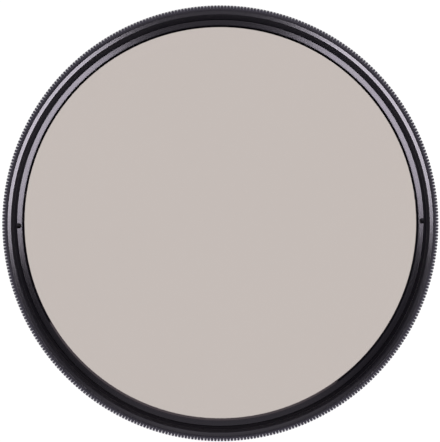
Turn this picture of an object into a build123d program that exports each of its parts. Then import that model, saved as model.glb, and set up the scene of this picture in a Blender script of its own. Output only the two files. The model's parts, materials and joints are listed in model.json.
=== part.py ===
"""Screw-in lens filter: a knurled black aluminium frame, a tinted glass disc and a notched retaining ring.

Millimetres. The optical axis is Z, the front of the filter faces +Z and the rear thread ends at Z = 0.
"""

import os
from math import cos, pi, sin

from build123d import *

# Lens thread, the same size at both ends so that filters stack; modelled plain, as major and minor cylinders
thread_diameter = 77.0
thread_pitch = 0.75
rear_thread_length = 2.5
rear_thread_chamfer = 0.3
undercut_width = 0.35
undercut_depth = 0.5
front_thread_depth = 2.25
front_thread_lead_in = 0.05

# Front flange that the fingers grip, and the plain barrel behind it
rim_width = 0.65
rim_slope_width = 1.0
rim_slope_height = 0.67
flange_height = 2.2
flange_back_slope_width = 0.65
flange_back_slope_height = 0.45
knurl_teeth = 412
knurl_depth = 0.6
barrel_setback = 0.25

# Glass and the lip that it sits on
glass_thickness = 1.8
glass_chamfer = 0.15
glass_clearance = 0.05
seat_width = 0.5
seat_thickness = 0.8

# Retaining ring and the fine thread that it screws into
retainer_height = 1.2
retainer_width = 1.4
retainer_bevel = 0.42
retainer_chamfer = 0.12
retainer_step = 0.45
retainer_clearance = 0.05
retainer_thread_runout = 0.2
pocket_step = 0.6
notch_width = 0.85
notch_reach = 0.8
notch_angle = 0.7

# Radii from the lens thread outwards; an internal metric thread is 0.5413 pitch deep
thread_radius = thread_diameter / 2
front_bore_radius = thread_radius - 0.5413 * thread_pitch
rim_inner_radius = thread_radius + front_thread_lead_in
rim_outer_radius = rim_inner_radius + rim_width
grip_radius = rim_outer_radius + rim_slope_width
knurl_root_radius = grip_radius - knurl_depth
barrel_radius = knurl_root_radius - barrel_setback

# Radii from the lens thread inwards
retainer_bore_radius = front_bore_radius - retainer_step
retainer_radius = retainer_bore_radius - retainer_clearance
aperture_radius = retainer_radius - retainer_width
pocket_radius = retainer_bore_radius - pocket_step
glass_radius = pocket_radius - glass_clearance
seat_radius = glass_radius - seat_width

# Heights from the rear end of the thread to the front rim
glass_top = seat_thickness + glass_thickness
retainer_top = glass_top + retainer_height
front_bore_floor = retainer_top + retainer_step
rim_height = front_bore_floor + front_thread_depth
flange_back = rim_height - flange_height

os.makedirs("parts", exist_ok=True)

# Frame: turned from one piece of aluminium, knurled, threaded at both ends and bored for the glass
with BuildPart() as filter_frame:
    # Knurl: a straight-toothed outline with one root and one crest to each tooth
    knurl_outline = []
    for tooth in range(knurl_teeth):
        root_angle = 2 * pi * tooth / knurl_teeth
        crest_angle = root_angle + pi / knurl_teeth
        knurl_outline.append((knurl_root_radius * cos(root_angle), knurl_root_radius * sin(root_angle)))
        knurl_outline.append((grip_radius * cos(crest_angle), grip_radius * sin(crest_angle)))
    with BuildSketch(Plane.XY.offset(flange_back)):
        with BuildLine():
            Polyline(*knurl_outline, close=True)
        make_face()
    extrude(amount=flange_height)

    # Both ends of the teeth are sloped off; one flat to each tooth keeps every edge of the knurl straight
    front_slope = rim_slope_width / rim_slope_height
    with BuildSketch(Plane.XY.offset(flange_back)):
        RegularPolygon(rim_outer_radius + flange_height * front_slope, knurl_teeth, major_radius=False)
    with BuildSketch(Plane.XY.offset(rim_height)):
        RegularPolygon(rim_outer_radius, knurl_teeth, major_radius=False)
    loft(ruled=True, mode=Mode.INTERSECT)
    back_slope = flange_back_slope_width / flange_back_slope_height
    back_rim_radius = grip_radius - flange_back_slope_width
    with BuildSketch(Plane.XY.offset(flange_back)):
        RegularPolygon(back_rim_radius, knurl_teeth, major_radius=False)
    with BuildSketch(Plane.XY.offset(rim_height)):
        RegularPolygon(back_rim_radius + flange_height * back_slope, knurl_teeth, major_radius=False)
    loft(ruled=True, mode=Mode.INTERSECT)

    # Outside behind the flange: plain barrel, seating shoulder, undercut and rear thread
    with BuildSketch(Plane.XZ):
        with BuildLine():
            Polyline(
                (0, 0),
                (thread_radius - rear_thread_chamfer, 0),
                (thread_radius, rear_thread_chamfer),
                (thread_radius, rear_thread_length - undercut_width),
                (thread_radius - undercut_depth, rear_thread_length - undercut_width),
                (thread_radius - undercut_depth, rear_thread_length),
                (barrel_radius, rear_thread_length),
                (barrel_radius, flange_back),
                (0, flange_back),
                close=True,
            )
        make_face()
    revolve(axis=Axis.Z)

    # Inside, from the rear: seat lip, glass pocket, retaining thread, lead-in cone, front thread and its chamfer
    with BuildSketch(Plane.XZ):
        with BuildLine():
            Polyline(
                (0, 0),
                (seat_radius, 0),
                (seat_radius, seat_thickness),
                (pocket_radius, seat_thickness),
                (pocket_radius, glass_top - retainer_thread_runout),
                (retainer_bore_radius, glass_top - retainer_thread_runout),
                (retainer_bore_radius, retainer_top),
                (front_bore_radius, front_bore_floor),
                (front_bore_radius, rim_height - (rim_inner_radius - front_bore_radius)),
                (rim_inner_radius, rim_height),
                (0, rim_height),
                close=True,
            )
        make_face()
    revolve(axis=Axis.Z, mode=Mode.SUBTRACT)

filter_frame.part.label = "filter_frame"
export_step(filter_frame.part, "parts/filter_frame.step")

# Glass: a flat disc with both edges ground off, lying on the seat lip
with BuildPart() as filter_glass:
    with BuildSketch(Plane.XY.offset(seat_thickness)):
        Circle(glass_radius)
    extrude(amount=glass_thickness)
    chamfer(filter_glass.edges(), length=glass_chamfer)

filter_glass.part.label = "filter_glass"
export_step(filter_glass.part, "parts/filter_glass.step")

# Retaining ring: screwed down on the glass, bevelled inside so that it clears the edge of the view
with BuildPart() as retaining_ring:
    with BuildSketch(Plane.XZ):
        with BuildLine():
            Polyline(
                (aperture_radius, glass_top),
                (retainer_radius - retainer_chamfer, glass_top),
                (retainer_radius, glass_top + retainer_chamfer),
                (retainer_radius, retainer_top),
                (aperture_radius + retainer_bevel, retainer_top),
                (aperture_radius, retainer_top - retainer_bevel),
                close=True,
            )
        make_face()
    revolve(axis=Axis.Z)

    # Two spanner notches, round at the inner end and open through the thread
    with BuildSketch(Plane.XY.offset(glass_top)):
        with PolarLocations(retainer_radius, 2, start_angle=notch_angle):
            SlotCenterPoint((0, 0), (notch_width / 2 - notch_reach, 0), notch_width)
    extrude(amount=retainer_height, mode=Mode.SUBTRACT)

retaining_ring.part.label = "retaining_ring"
export_step(retaining_ring.part, "parts/retaining_ring.step")
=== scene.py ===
"""Screw-in lens filter in black anodised aluminium, lying face up on a lit white table."""

import json
from math import cos, pi, radians, sin, sqrt

import bmesh
import bpy
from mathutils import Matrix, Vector


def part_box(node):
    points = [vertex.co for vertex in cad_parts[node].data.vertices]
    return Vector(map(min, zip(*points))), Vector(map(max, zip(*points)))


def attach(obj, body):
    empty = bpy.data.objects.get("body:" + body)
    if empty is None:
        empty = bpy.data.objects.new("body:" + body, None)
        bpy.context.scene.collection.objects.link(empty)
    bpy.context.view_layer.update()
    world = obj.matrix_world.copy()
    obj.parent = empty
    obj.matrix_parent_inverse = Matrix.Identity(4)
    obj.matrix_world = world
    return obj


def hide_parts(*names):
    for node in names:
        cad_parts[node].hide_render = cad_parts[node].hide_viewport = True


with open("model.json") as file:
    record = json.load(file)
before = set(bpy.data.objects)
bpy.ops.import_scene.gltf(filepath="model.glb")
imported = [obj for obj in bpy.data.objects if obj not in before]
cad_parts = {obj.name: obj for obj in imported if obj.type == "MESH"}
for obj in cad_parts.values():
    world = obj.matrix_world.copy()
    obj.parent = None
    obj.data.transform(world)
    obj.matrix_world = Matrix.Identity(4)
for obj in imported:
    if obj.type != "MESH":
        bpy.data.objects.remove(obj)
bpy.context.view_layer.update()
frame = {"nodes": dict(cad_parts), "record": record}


# Filter frame: the knurled ring that holds everything. It is turned from one piece of aluminium bar,
# knurled, threaded outside at the rear and inside at the front, bored for the glass and anodised black.
# The CAD node has plain cylinders for the two lens threads; this piece stands for it and has their turns.
MM = 0.001
mounts = {mount["name"]: mount["dims"] for mount in frame["record"]["mounts"]}
glass_low, glass_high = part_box("filter_glass")
retainer_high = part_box("retaining_ring")[1]
rim_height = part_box("filter_frame")[1].z
clearance = 0.05 * MM
edge_break = 0.04 * MM
merge_gap = 0.0001 * MM
sharp_from = radians(12)

# Lens threads: a metric thread is 0.5413 pitch deep, and its flats are 1/8 pitch wide at the major radius
# and 1/4 pitch at the minor radius
thread_pitch = 0.75 * MM
thread_depth = 0.5413 * thread_pitch
thread_runout = 0.4 * thread_pitch
major_flat = 1 / 8
minor_flat = 1 / 4

# Outside behind the flange: rear thread, undercut, shoulder and plain barrel
rear_radius = mounts["rear_thread"]["r_mm"] * MM
rear_chamfer = 0.3 * MM
undercut_radius = rear_radius - 0.5 * MM
undercut_height = 2.15 * MM
shoulder_height = 2.5 * MM
barrel_radius = 39.35 * MM

# Knurled flange, sloped off at both ends of its teeth
knurl_teeth = 412
knurl_depth = 0.6 * MM
knurl_crest_share = 0.5
grip_radius = 40.195 * MM
flange_back = rim_height - 2.2 * MM
back_slope_width = 0.65 * MM
back_slope_height = 0.45 * MM
back_rise = back_slope_height / back_slope_width
rim_outer_radius = 39.2 * MM
rim_inner_radius = rear_radius + 0.05 * MM
rim_slope_height = 0.67 * MM
rim_rise = rim_slope_height / (grip_radius - rim_outer_radius)

# Inside, from the front: thread and its chamfer, bore of the retaining ring, glass pocket and seat lip
front_radius = mounts["front_thread"]["r_mm"] * MM
front_chamfer = rim_inner_radius - front_radius
front_thread_top = rim_height - front_chamfer
retainer_bore_radius = retainer_high.x + clearance
front_thread_floor = retainer_high.z + front_radius - retainer_bore_radius
pocket_radius = glass_high.x + clearance
pocket_top = glass_high.z - 0.2 * MM
seat_radius = glass_high.x - 0.5 * MM

SECTION_VALUES = ["reach", "height", "knurl", "rise", "helix", "groove", "low", "high"]


def section_point(reach, height, **cutting):
    """One point of the turned section, and what the knurl or a thread does to it on the way round.

    "low" and "high" are the ends of a thread; a point that is in none has them a metre away.
    """
    return {"reach": reach, "height": height, "low": -1.0, "high": 1.0} | cutting


def thread_rows(reach, groove, low, high, crest_share, root_share):
    """The rows of a screw thread: each climbs one pitch in a turn and stops at the thread's two ends."""
    flank_share = (1 - crest_share - root_share) / 2
    one_turn = (
        (0, 0),
        (crest_share, 0),
        (crest_share + flank_share, groove),
        (crest_share + flank_share + root_share, groove),
    )
    rows = []
    for turn in range(-1, int((high - low) / thread_pitch) + 1):
        for share, cut in one_turn:
            height = low + (turn + share) * thread_pitch
            if height < high:
                rows.append(section_point(reach, height, helix=1.0, groove=cut, low=low, high=high))
    return rows


rear_thread = thread_rows(rear_radius, -thread_depth, rear_chamfer, undercut_height,
                          crest_share=major_flat, root_share=minor_flat)
front_thread = thread_rows(front_radius, thread_depth, front_thread_floor, front_thread_top,
                           crest_share=minor_flat, root_share=major_flat)
section = [
    section_point(seat_radius, edge_break),
    section_point(seat_radius + edge_break, 0),
    section_point(rear_radius - rear_chamfer, 0),
    section_point(rear_radius, rear_chamfer),
    *rear_thread,
    section_point(rear_radius, undercut_height),
    section_point(undercut_radius, undercut_height),
    section_point(undercut_radius, shoulder_height),
    section_point(barrel_radius - edge_break, shoulder_height),
    section_point(barrel_radius, shoulder_height + edge_break),
    section_point(barrel_radius, flange_back),
    section_point(grip_radius - back_slope_width, flange_back),
    section_point(grip_radius, flange_back + back_slope_height, knurl=1.0, rise=-back_rise),
    section_point(grip_radius, rim_height - rim_slope_height, knurl=1.0, rise=rim_rise),
    section_point(rim_outer_radius + edge_break, rim_height - edge_break * rim_rise),
    section_point(rim_outer_radius - edge_break, rim_height),
    section_point(rim_inner_radius + edge_break, rim_height),
    section_point(rim_inner_radius - edge_break, rim_height - edge_break),
    section_point(front_radius, front_thread_top),
    *reversed(front_thread),
    section_point(front_radius, front_thread_floor),
    section_point(retainer_bore_radius, retainer_high.z),
    section_point(retainer_bore_radius, pocket_top),
    section_point(pocket_radius, pocket_top),
    section_point(pocket_radius, glass_low.z),
    section_point(seat_radius, glass_low.z),
]


def add_node(tree, kind, links=None, **settings):
    """Adds one node with its settings.

    links gives an input, by its name or number, a value, another node's first output, or any output.
    """
    node = tree.nodes.new(kind)
    for name, value in settings.items():
        setattr(node, name, value)
    for name, source in (links or {}).items():
        if isinstance(source, bpy.types.Node):
            source = source.outputs[0]
        if isinstance(source, bpy.types.NodeSocket):
            tree.links.new(source, node.inputs[name])
        else:
            node.inputs[name].default_value = source
    return node


def turned_ring_tree():
    """A lathe: sweeps a section once round the axis, presses the knurl in and cuts the screw threads."""
    tree = bpy.data.node_groups.new("turned_ring", "GeometryNodeTree")
    sockets = {"Section": "Geometry", "Teeth": "Int", "Knurl depth": "Float", "Crest share": "Float",
               "Thread pitch": "Float", "Thread runout": "Float", "Finish": "Material"}
    for name, kind in sockets.items():
        tree.interface.new_socket(name, in_out="INPUT", socket_type="NodeSocket" + kind)
    tree.interface.new_socket("Ring", in_out="OUTPUT", socket_type="NodeSocketGeometry")
    given = add_node(tree, "NodeGroupInput").outputs
    row = {name: add_node(tree, "GeometryNodeInputNamedAttribute", {"Name": name})
           for name in SECTION_VALUES + ["turn"]}
    maths = "ShaderNodeMath"

    # The section is swept along a line with three columns to a tooth; "turn" goes from 0 to 1 along it
    columns = add_node(tree, maths, {0: given["Teeth"], 1: 3.0, 2: 1.0}, operation="MULTIPLY_ADD")
    path = add_node(tree, "GeometryNodeCurvePrimitiveLine")
    path = add_node(tree, "GeometryNodeResampleCurve", {"Curve": path, "Count": columns})
    along = add_node(tree, "GeometryNodeSplineParameter")
    path = add_node(tree, "GeometryNodeStoreNamedAttribute",
                    {"Geometry": path, "Name": "turn", "Value": along})
    profile = add_node(tree, "GeometryNodeMeshToCurve", {"Mesh": given["Section"]})
    swept = add_node(tree, "GeometryNodeCurveToMesh", {"Curve": path, "Profile Curve": profile})

    # Knurl: of the three columns of a tooth, one is the bottom of a V groove and two are the edges of its
    # crest. The phase's cosine is 1 at the bottom and -1/2 at the edges, which gives a cut of 1 and 0
    phase = add_node(tree, maths, {0: row["turn"], 1: given["Teeth"]}, operation="MULTIPLY")
    phase = add_node(tree, maths, {0: phase, 1: 2 * pi}, operation="MULTIPLY")
    cut = add_node(tree, maths, {0: phase}, operation="COSINE")
    cut = add_node(tree, maths, {0: cut, 1: 2 / 3, 2: 1 / 3}, operation="MULTIPLY_ADD")
    cut = add_node(tree, maths, {0: cut, 1: given["Knurl depth"]}, operation="MULTIPLY")
    cut = add_node(tree, maths, {0: cut, 1: row["knurl"]}, operation="MULTIPLY")
    reach = add_node(tree, maths, {0: row["reach"], 1: cut}, operation="SUBTRACT")
    height = add_node(tree, maths, {0: row["rise"], 1: cut, 2: row["height"]}, operation="MULTIPLY_ADD")

    # The two edges start a third of a tooth apart and are moved along the rim until the crest has its width
    shift = add_node(tree, maths, {0: phase}, operation="SINE")
    shift = add_node(tree, maths, {0: shift, 1: given["Teeth"]}, operation="DIVIDE")
    spread = add_node(tree, maths, {0: given["Crest share"], 1: 1 / 3}, operation="SUBTRACT")
    spread = add_node(tree, maths, {0: spread, 1: -1 / sqrt(3)}, operation="MULTIPLY")
    turn = add_node(tree, maths, {0: shift, 1: spread, 2: row["turn"]}, operation="MULTIPLY_ADD")

    # Thread: its rows climb one pitch in a turn, stop at both ends and run out to nothing there
    climb = add_node(tree, maths, {0: turn, 1: given["Thread pitch"]}, operation="MULTIPLY")
    height = add_node(tree, maths, {0: climb, 1: row["helix"], 2: height}, operation="MULTIPLY_ADD")
    height = add_node(tree, maths, {0: height, 1: row["low"]}, operation="MAXIMUM")
    height = add_node(tree, maths, {0: height, 1: row["high"]}, operation="MINIMUM")
    from_low = add_node(tree, maths, {0: height, 1: row["low"]}, operation="SUBTRACT")
    from_high = add_node(tree, maths, {0: row["high"], 1: height}, operation="SUBTRACT")
    depth = add_node(tree, maths, {0: from_low, 1: from_high}, operation="MINIMUM")
    depth = add_node(tree, maths, {0: depth, 1: given["Thread runout"]}, operation="DIVIDE", use_clamp=True)
    reach = add_node(tree, maths, {0: row["groove"], 1: depth, 2: reach}, operation="MULTIPLY_ADD")

    # The line is bent round the axis, its two ends are joined, and the faces are turned to point outwards
    angle = add_node(tree, maths, {0: turn, 1: 2 * pi}, operation="MULTIPLY")
    along_x = add_node(tree, maths, {0: angle}, operation="COSINE")
    along_x = add_node(tree, maths, {0: along_x, 1: reach}, operation="MULTIPLY")
    along_y = add_node(tree, maths, {0: angle}, operation="SINE")
    along_y = add_node(tree, maths, {0: along_y, 1: reach}, operation="MULTIPLY")
    place = add_node(tree, "ShaderNodeCombineXYZ", {"X": along_x, "Y": along_y, "Z": height})
    ring = add_node(tree, "GeometryNodeSetPosition", {"Geometry": swept, "Position": place})
    ring = add_node(tree, "GeometryNodeMergeByDistance", {"Geometry": ring, "Distance": merge_gap})
    ring = add_node(tree, "GeometryNodeFlipFaces", {"Mesh": ring})
    ring = add_node(tree, "GeometryNodeRealizeInstances", {"Geometry": ring})
    ring = add_node(tree, "GeometryNodeSetMaterial", {"Geometry": ring, "Material": given["Finish"]})
    add_node(tree, "NodeGroupOutput", {"Ring": ring})
    return tree


def linear(hex_colour):
    """An sRGB hex colour as linear RGBA."""
    shares = [int(hex_colour[i:i + 2], 16) / 255 for i in (1, 3, 5)]
    return [s / 12.92 if s <= 0.04045 else ((s + 0.055) / 1.055) ** 2.4 for s in shares] + [1.0]


# Numbers of a Mix node's sockets for colours: its factor, its two colours and its result
SHARE, FIRST, SECOND, MIXED = 0, 6, 7, 2


def black_anodised_aluminium(name, dark_dye, pale_dye, smoothest, roughest,
                             faced_from, bored_dye_and_shade, bored_roughness):
    """Turned aluminium with a dyed oxide skin.

    The rings that the tool leaves draw each reflection out across them, so a flat face shows two grey fans
    of light and is near black elsewhere. The dye takes a little unevenly, and fingers rub the outermost
    edges paler. Bored faces, below the faced front, have a finish of their own: matt in the frame, against
    stray light, with a darker dye there that is painted shade in the bore, and smooth on the retaining
    ring, so that its bevel mirrors what is opposite.
    """
    mark_spacing = 0.3 * MM  # the feed is about 0.1 mm a turn, which is too fine to show here
    mark_depth = 0.005 * MM
    mark_lean = -0.2
    flat_from, flat_full = 0.94, 0.99  # upward part of the normal
    noise_low, noise_high = 0.3, 0.7  # where nearly all of the noise lies
    dye_patch = 9 * MM
    rubbed_dye = "#8b8890"
    rubbed_from = rim_outer_radius + 0.05 * MM
    rubbed_most = 1.5  # more than 1, so that the crests are rubbed all over
    bored_reach = rim_inner_radius + clearance
    bored_most = 0.25  # outward part of the normal

    material = bpy.data.materials.new(name)
    material.use_nodes = True
    tree = material.node_tree
    tree.nodes.clear()
    coords = add_node(tree, "ShaderNodeTexCoord").outputs
    place = coords["Object"]
    height = add_node(tree, "ShaderNodeSeparateXYZ", {0: place}).outputs["Z"]
    level = add_node(tree, "ShaderNodeVectorMath", {0: place, 1: (1, 1, 0)}, operation="MULTIPLY")
    reach = add_node(tree, "ShaderNodeVectorMath", {0: level}, operation="LENGTH").outputs["Value"]
    outward = add_node(tree, "ShaderNodeVectorMath", {0: level}, operation="NORMALIZE")
    faced = add_node(tree, "ShaderNodeMath", {0: height, 1: faced_from}, operation="GREATER_THAN")

    # A bored face looks towards the axis, up or down, and lies within the rim
    outward_part = add_node(tree, "ShaderNodeVectorMath", {0: coords["Normal"], 1: outward},
                            operation="DOT_PRODUCT").outputs["Value"]
    within = add_node(tree, "ShaderNodeMath", {0: reach, 1: bored_reach}, operation="LESS_THAN")
    bored = add_node(tree, "ShaderNodeMath", {0: outward_part, 1: bored_most}, operation="LESS_THAN")
    bored = add_node(tree, "ShaderNodeMath", {0: bored, 1: within}, operation="MULTIPLY")
    bored = add_node(tree, "ShaderNodeMath", {0: bored, 1: faced}, operation="SUBTRACT", use_clamp=True)

    # A facing cut leaves its rings leaning in towards the axis, like the grooves of a shallow dish
    upward = add_node(tree, "ShaderNodeSeparateXYZ", {0: coords["Normal"]}).outputs["Z"]
    lean = add_node(tree, "ShaderNodeMapRange", {
        "Value": upward, "From Min": flat_from, "From Max": flat_full, "To Min": 0.0, "To Max": mark_lean})
    lean = add_node(tree, "ShaderNodeMath", {0: lean, 1: faced}, operation="MULTIPLY")
    lean = add_node(tree, "ShaderNodeVectorMath", {0: outward, "Scale": lean}, operation="SCALE")
    facing = add_node(tree, "ShaderNodeVectorMath", {0: coords["Normal"], 1: lean}, operation="ADD")
    facing = add_node(tree, "ShaderNodeVectorMath", {0: facing}, operation="NORMALIZE")
    facing = add_node(tree, "ShaderNodeVectorTransform", {0: facing}, vector_type="NORMAL",
                      convert_from="OBJECT", convert_to="WORLD")

    # Turning marks are the same all round, so they depend only on the place in the section
    section_place = add_node(tree, "ShaderNodeCombineXYZ", {"X": reach, "Y": height})
    marks = add_node(tree, "ShaderNodeTexNoise", {
        "Vector": section_place, "Scale": 1 / mark_spacing, "Detail": 2.0})
    roughness = add_node(tree, "ShaderNodeMapRange", {
        "Value": marks, "From Min": noise_low, "From Max": noise_high,
        "To Min": smoothest, "To Max": roughest})
    roughness = add_node(tree, "ShaderNodeMapRange", {
        "Value": bored, "To Min": roughness, "To Max": bored_roughness})
    grooved = add_node(tree, "ShaderNodeBump", {"Height": marks, "Distance": mark_depth, "Normal": facing})
    tangent = add_node(tree, "ShaderNodeTangent", direction_type="RADIAL", axis="Z")

    # Dye: in soft patches, rubbed at the outermost edges, and one colour on bored faces, which in the frame
    # is darker: painted shade in the bore
    patches = add_node(tree, "ShaderNodeTexNoise", {"Vector": place, "Scale": 1 / dye_patch, "Detail": 3.0})
    dye = add_node(tree, "ShaderNodeMix", {
        SHARE: patches, FIRST: linear(dark_dye), SECOND: linear(pale_dye)}, data_type="RGBA")
    rubbed = add_node(tree, "ShaderNodeMapRange", {
        "Value": reach, "From Min": rubbed_from, "From Max": grip_radius,
        "To Min": 0.0, "To Max": rubbed_most})
    dye = add_node(tree, "ShaderNodeMix", {
        SHARE: rubbed, FIRST: dye.outputs[MIXED], SECOND: linear(rubbed_dye)}, data_type="RGBA")
    dye = add_node(tree, "ShaderNodeMix", {
        SHARE: bored, FIRST: dye.outputs[MIXED], SECOND: linear(bored_dye_and_shade)}, data_type="RGBA")

    skin = add_node(tree, "ShaderNodeBsdfPrincipled", {
        "Base Color": dye.outputs[MIXED], "Metallic": 1.0, "Roughness": roughness, "Anisotropic": 0.82,
        "Anisotropic Rotation": 0.25, "Normal": grooved, "Tangent": tangent})
    add_node(tree, "ShaderNodeOutputMaterial", {"Surface": skin})
    return material


outline = bpy.data.meshes.new("frame_section")
outline.from_pydata([(point["reach"], 0, point["height"]) for point in section],
                    [(i, (i + 1) % len(section)) for i in range(len(section))], [])
for name in SECTION_VALUES:
    values = outline.attributes.new(name, "FLOAT", "POINT")
    values.data.foreach_set("value", [point.get(name, 0.0) for point in section])
filter_frame = bpy.data.objects.new("frame_turned", outline)
bpy.context.scene.collection.objects.link(filter_frame)

lathe = filter_frame.modifiers.new("lathe", "NODES")
lathe.node_group = turned_ring_tree()
lathe_inputs = {
    "Teeth": knurl_teeth,
    "Knurl depth": knurl_depth,
    "Crest share": knurl_crest_share,
    "Thread pitch": thread_pitch,
    "Thread runout": thread_runout,
    "Finish": black_anodised_aluminium(
        "turned_black_anodised_aluminium", dark_dye="#504d53", pale_dye="#5a575c",
        smoothest=0.15, roughest=0.21,
        # The frame's darker bored dye is painted shade in its bore; the matt roughness is its finish
        faced_from=rim_height - edge_break, bored_dye_and_shade="#323035", bored_roughness=0.37),
}
for socket in lathe.node_group.interface.items_tree:
    if socket.name in lathe_inputs:
        lathe[socket.identifier] = lathe_inputs[socket.name]
turned = filter_frame.evaluated_get(bpy.context.evaluated_depsgraph_get())
filter_frame.data = bpy.data.meshes.new_from_object(turned)
filter_frame.modifiers.clear()
for name in SECTION_VALUES + ["turn"]:
    filter_frame.data.attributes.remove(filter_frame.data.attributes[name])
filter_frame.data.shade_smooth()
filter_frame.data.set_sharp_from_angle(angle=sharp_from)
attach(filter_frame, "root")
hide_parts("filter_frame")


# Filter glass: a flat disc of warm grey optical glass, polished and coated on both sides. It lies on the
# frame's seat lip and is held down by the retaining ring.
def tinted_glass():
    """Polished coated glass: clear to look through, darker than what lies behind it, hardly reflecting.

    Its tint is all but even, and its ground edge is blacked against stray light.
    """
    melt_patch = 25 * MM
    blacked_from = glass_high.x - 0.22 * MM
    material = bpy.data.materials.new("coated_grey_glass")
    material.use_nodes = True
    tree = material.node_tree
    tree.nodes.clear()
    place = add_node(tree, "ShaderNodeTexCoord").outputs["Object"]
    melt = add_node(tree, "ShaderNodeTexNoise", {"Vector": place, "Scale": 1 / melt_patch, "Detail": 1.0})
    tint = add_node(tree, "ShaderNodeMix", {
        SHARE: melt, FIRST: linear("#c6bdb8"), SECOND: linear("#c7beb9")}, data_type="RGBA")
    level = add_node(tree, "ShaderNodeVectorMath", {0: place, 1: (1, 1, 0)}, operation="MULTIPLY")
    reach = add_node(tree, "ShaderNodeVectorMath", {0: level}, operation="LENGTH").outputs["Value"]
    edge = add_node(tree, "ShaderNodeMath", {0: reach, 1: blacked_from}, operation="GREATER_THAN")
    tint = add_node(tree, "ShaderNodeMix", {
        SHARE: edge, FIRST: tint.outputs[MIXED], SECOND: linear("#0a090a")}, data_type="RGBA")
    glass = add_node(tree, "ShaderNodeBsdfPrincipled", {
        "Base Color": tint.outputs[MIXED], "Roughness": 0.0, "IOR": 1.52, "Transmission Weight": 1.0,
        "Specular IOR Level": 0.1})
    shade = add_node(tree, "ShaderNodeBsdfTransparent", {"Color": linear("#e2ddda")})
    shadow_ray = add_node(tree, "ShaderNodeLightPath").outputs["Is Shadow Ray"]
    seen = add_node(tree, "ShaderNodeMixShader", {0: shadow_ray, 1: glass, 2: shade})
    add_node(tree, "ShaderNodeOutputMaterial", {"Surface": seen})
    return material


filter_glass = frame["nodes"]["filter_glass"]
filter_glass.data.materials.clear()
filter_glass.data.materials.append(tinted_glass())


# Retaining ring: a thin aluminium ring, turned, bevelled towards the glass and anodised like the frame. It
# is screwed down on the glass with a pin spanner that fits its two notches, and tumbling breaks its edges.
retainer_edge_break = 0.06 * MM
flat_within = radians(0.5)
corner_from = radians(25)
retainer_mesh = frame["nodes"]["retaining_ring"].data.copy()
shape = bmesh.new()
shape.from_mesh(retainer_mesh)
bmesh.ops.remove_doubles(shape, verts=shape.verts, dist=merge_gap)
bmesh.ops.dissolve_limit(shape, angle_limit=flat_within, verts=shape.verts, edges=shape.edges)
corners = [edge for edge in shape.edges if edge.calc_face_angle() > corner_from]
bmesh.ops.bevel(shape, geom=corners, offset=retainer_edge_break, offset_type="OFFSET", segments=2,
                profile=0.5, affect="EDGES", clamp_overlap=True)
shape.to_mesh(retainer_mesh)
shape.free()
retainer_mesh.shade_smooth()
retainer_mesh.set_sharp_from_angle(angle=sharp_from)
retainer_mesh.materials.clear()
retainer_mesh.materials.append(black_anodised_aluminium(
    "turned_black_anodised_ring", dark_dye="#434046", pale_dye="#4b484d",
    smoothest=0.18, roughest=0.24,
    faced_from=retainer_high.z - retainer_edge_break, bored_dye_and_shade="#47444a", bored_roughness=0.06))
retaining_ring = bpy.data.objects.new("retainer_turned", retainer_mesh)
bpy.context.scene.collection.objects.link(retaining_ring)
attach(retaining_ring, "root")
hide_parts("retaining_ring")


# Studio: a table of opal acrylic lit from below, grey walls, two soft boxes at the front left and the front
# right that draw the fans of light on the rings, a weak fill at the back and at the front, and a low warm
# card along the back, which the bevel of the retaining ring mirrors at the front.
def soft_box(name, azimuth, elevation, distance, width, height, radiance, colour="#ffffff"):
    """A soft box that faces the filter."""
    lamp = bpy.data.lights.new(name, "AREA")
    lamp.shape = "RECTANGLE"
    lamp.size, lamp.size_y = width, height
    lamp.color = linear(colour)[:3]
    lamp.energy = radiance * pi * width * height
    box = bpy.data.objects.new(name, lamp)
    level = cos(elevation)
    box.location = distance * Vector((level * cos(azimuth), level * sin(azimuth), sin(elevation)))
    box.rotation_euler = box.location.to_track_quat("Z", "Y").to_euler()
    bpy.context.scene.collection.objects.link(box)


for name, azimuth in (("left_soft_box", radians(218)), ("right_soft_box", radians(327))):
    soft_box(name, azimuth, elevation=radians(67), distance=0.55, width=0.205, height=0.16, radiance=10.3)
for name, azimuth, radiance in (("back_fill", radians(90), 0.63), ("front_fill", radians(270), 0.34)):
    soft_box(name, azimuth, elevation=radians(66), distance=0.6, width=0.3, height=0.24, radiance=radiance)
soft_box("low_card", radians(78), elevation=radians(5), distance=0.6, width=1.43, height=0.08,
         radiance=1.0, colour="#fff1ea")


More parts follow.
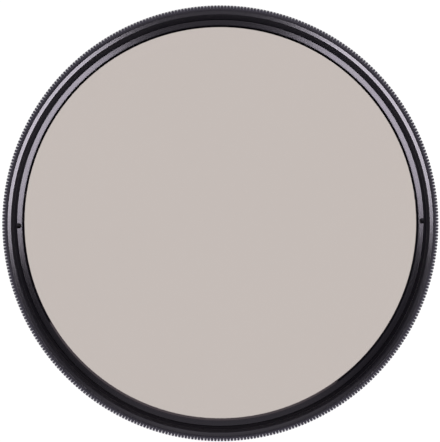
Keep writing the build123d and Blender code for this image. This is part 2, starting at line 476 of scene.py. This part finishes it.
def lit_opal_acrylic():
    """Opal acrylic lit evenly from below, white but for a painted ring of shade under the filter's edge.

    The ring is shifted a little to the front, and it is a touch narrower from side to side.
    """
    shade_shift = (0.02 * MM, 0.29 * MM, 0)
    shade_squeeze = (1.0016, 1, 1)
    shade_inner = (seat_radius + rear_radius) / 2
    shade_outer = grip_radius + 0.44 * MM
    shade_edge = 0.4 * MM
    material = bpy.data.materials.new("lit_opal_acrylic")
    material.use_nodes = True
    tree = material.node_tree
    tree.nodes.clear()
    place = add_node(tree, "ShaderNodeTexCoord").outputs["Object"]
    place = add_node(tree, "ShaderNodeVectorMath", {0: place, 1: shade_squeeze, 2: shade_shift},
                     operation="MULTIPLY_ADD")
    reach = add_node(tree, "ShaderNodeVectorMath", {0: place}, operation="LENGTH").outputs["Value"]
    # Painted shade: in a ring shaped to the filter's outline the glow is left out, so that plain white
    # there is lit only by the lamps and shaded by the filter
    under_frame = add_node(tree, "ShaderNodeMath", {0: reach, 1: shade_inner}, operation="GREATER_THAN")
    painted_shade = add_node(tree, "ShaderNodeMapRange", {
        "Value": reach, "From Min": shade_outer - shade_edge, "From Max": shade_outer,
        "To Min": 1.0, "To Max": 0.0})
    painted_shade = add_node(tree, "ShaderNodeMath", {0: painted_shade, 1: under_frame}, operation="MULTIPLY")
    glow = add_node(tree, "ShaderNodeEmission", {"Color": linear("#ffffff"), "Strength": 1.06})
    bare = add_node(tree, "ShaderNodeBsdfDiffuse", {"Color": linear("#e6e4e9")})
    surface = add_node(tree, "ShaderNodeMixShader", {0: painted_shade, 1: glow, 2: bare})
    add_node(tree, "ShaderNodeOutputMaterial", {"Surface": surface})
    return material


table_reach = 3.0
table_height = -0.05 * MM
table_corners = [(x * table_reach, y * table_reach, table_height)
                 for x, y in ((-1, -1), (1, -1), (1, 1), (-1, 1))]
table = bpy.data.meshes.new("table")
table.from_pydata(table_corners, [], [(0, 1, 2, 3)])
table.materials.append(lit_opal_acrylic())
table_top = bpy.data.objects.new("table", table)
bpy.context.scene.collection.objects.link(table_top)


def studio_walls():
    """Grey walls, darkest at the floor, under a darker ceiling; what the camera sees of them is white.

    Their brightest band stands a little lower at the front than at the back.
    """
    band_axis = (0, -0.08, 1.0)
    floor_shade, *wall_shades, ceiling_shade = (
        (0.05, "#45434a"), (0.38, "#878590"), (0.5, "#878590"), (0.75, "#57555c"))
    world = bpy.data.worlds.new("studio")
    world.use_nodes = True
    tree = world.node_tree
    tree.nodes.clear()
    direction = add_node(tree, "ShaderNodeTexCoord").outputs["Generated"]
    upward = add_node(tree, "ShaderNodeVectorMath", {0: direction, 1: band_axis}, operation="DOT_PRODUCT")
    walls = add_node(tree, "ShaderNodeValToRGB", {0: upward.outputs["Value"]})
    stops = walls.color_ramp.elements
    for position, colour in wall_shades:
        stops.new(position).color = linear(colour)
    for stop, (position, colour) in ((stops[0], floor_shade), (stops[-1], ceiling_shade)):
        stop.position = position
        stop.color = linear(colour)
    in_view = add_node(tree, "ShaderNodeLightPath").outputs["Is Camera Ray"]
    backdrop = add_node(tree, "ShaderNodeMix", {
        SHARE: in_view, FIRST: walls, SECOND: linear("#ffffff")}, data_type="RGBA")
    glow = add_node(tree, "ShaderNodeBackground", {"Color": backdrop.outputs[MIXED]})
    add_node(tree, "ShaderNodeOutputWorld", {"Surface": glow})
    return world


bpy.context.scene.world = studio_walls()
bpy.context.scene.view_settings.view_transform = "Standard"

# The camera looks almost straight down, from a little behind the filter; a pixel is measured at the rim
camera_lean = radians(2.7)
image_height = 442
pixel = 0.1841 * MM
aim_right = -0.34 * pixel
aim_up = 3.05 * pixel
camera_data = bpy.data.cameras.new("camera")
camera_data.lens = 350
camera_data.sensor_width = 36
camera_distance = pixel * image_height * camera_data.lens / camera_data.sensor_width
camera = bpy.data.objects.new("camera", camera_data)
camera.location = (Vector((aim_right, aim_up, rim_height))
                   + camera_distance * Vector((0, sin(camera_lean), cos(camera_lean))))
camera.rotation_euler = (-camera_lean, 0, 0)
bpy.context.scene.collection.objects.link(camera)
bpy.context.scene.camera = camera
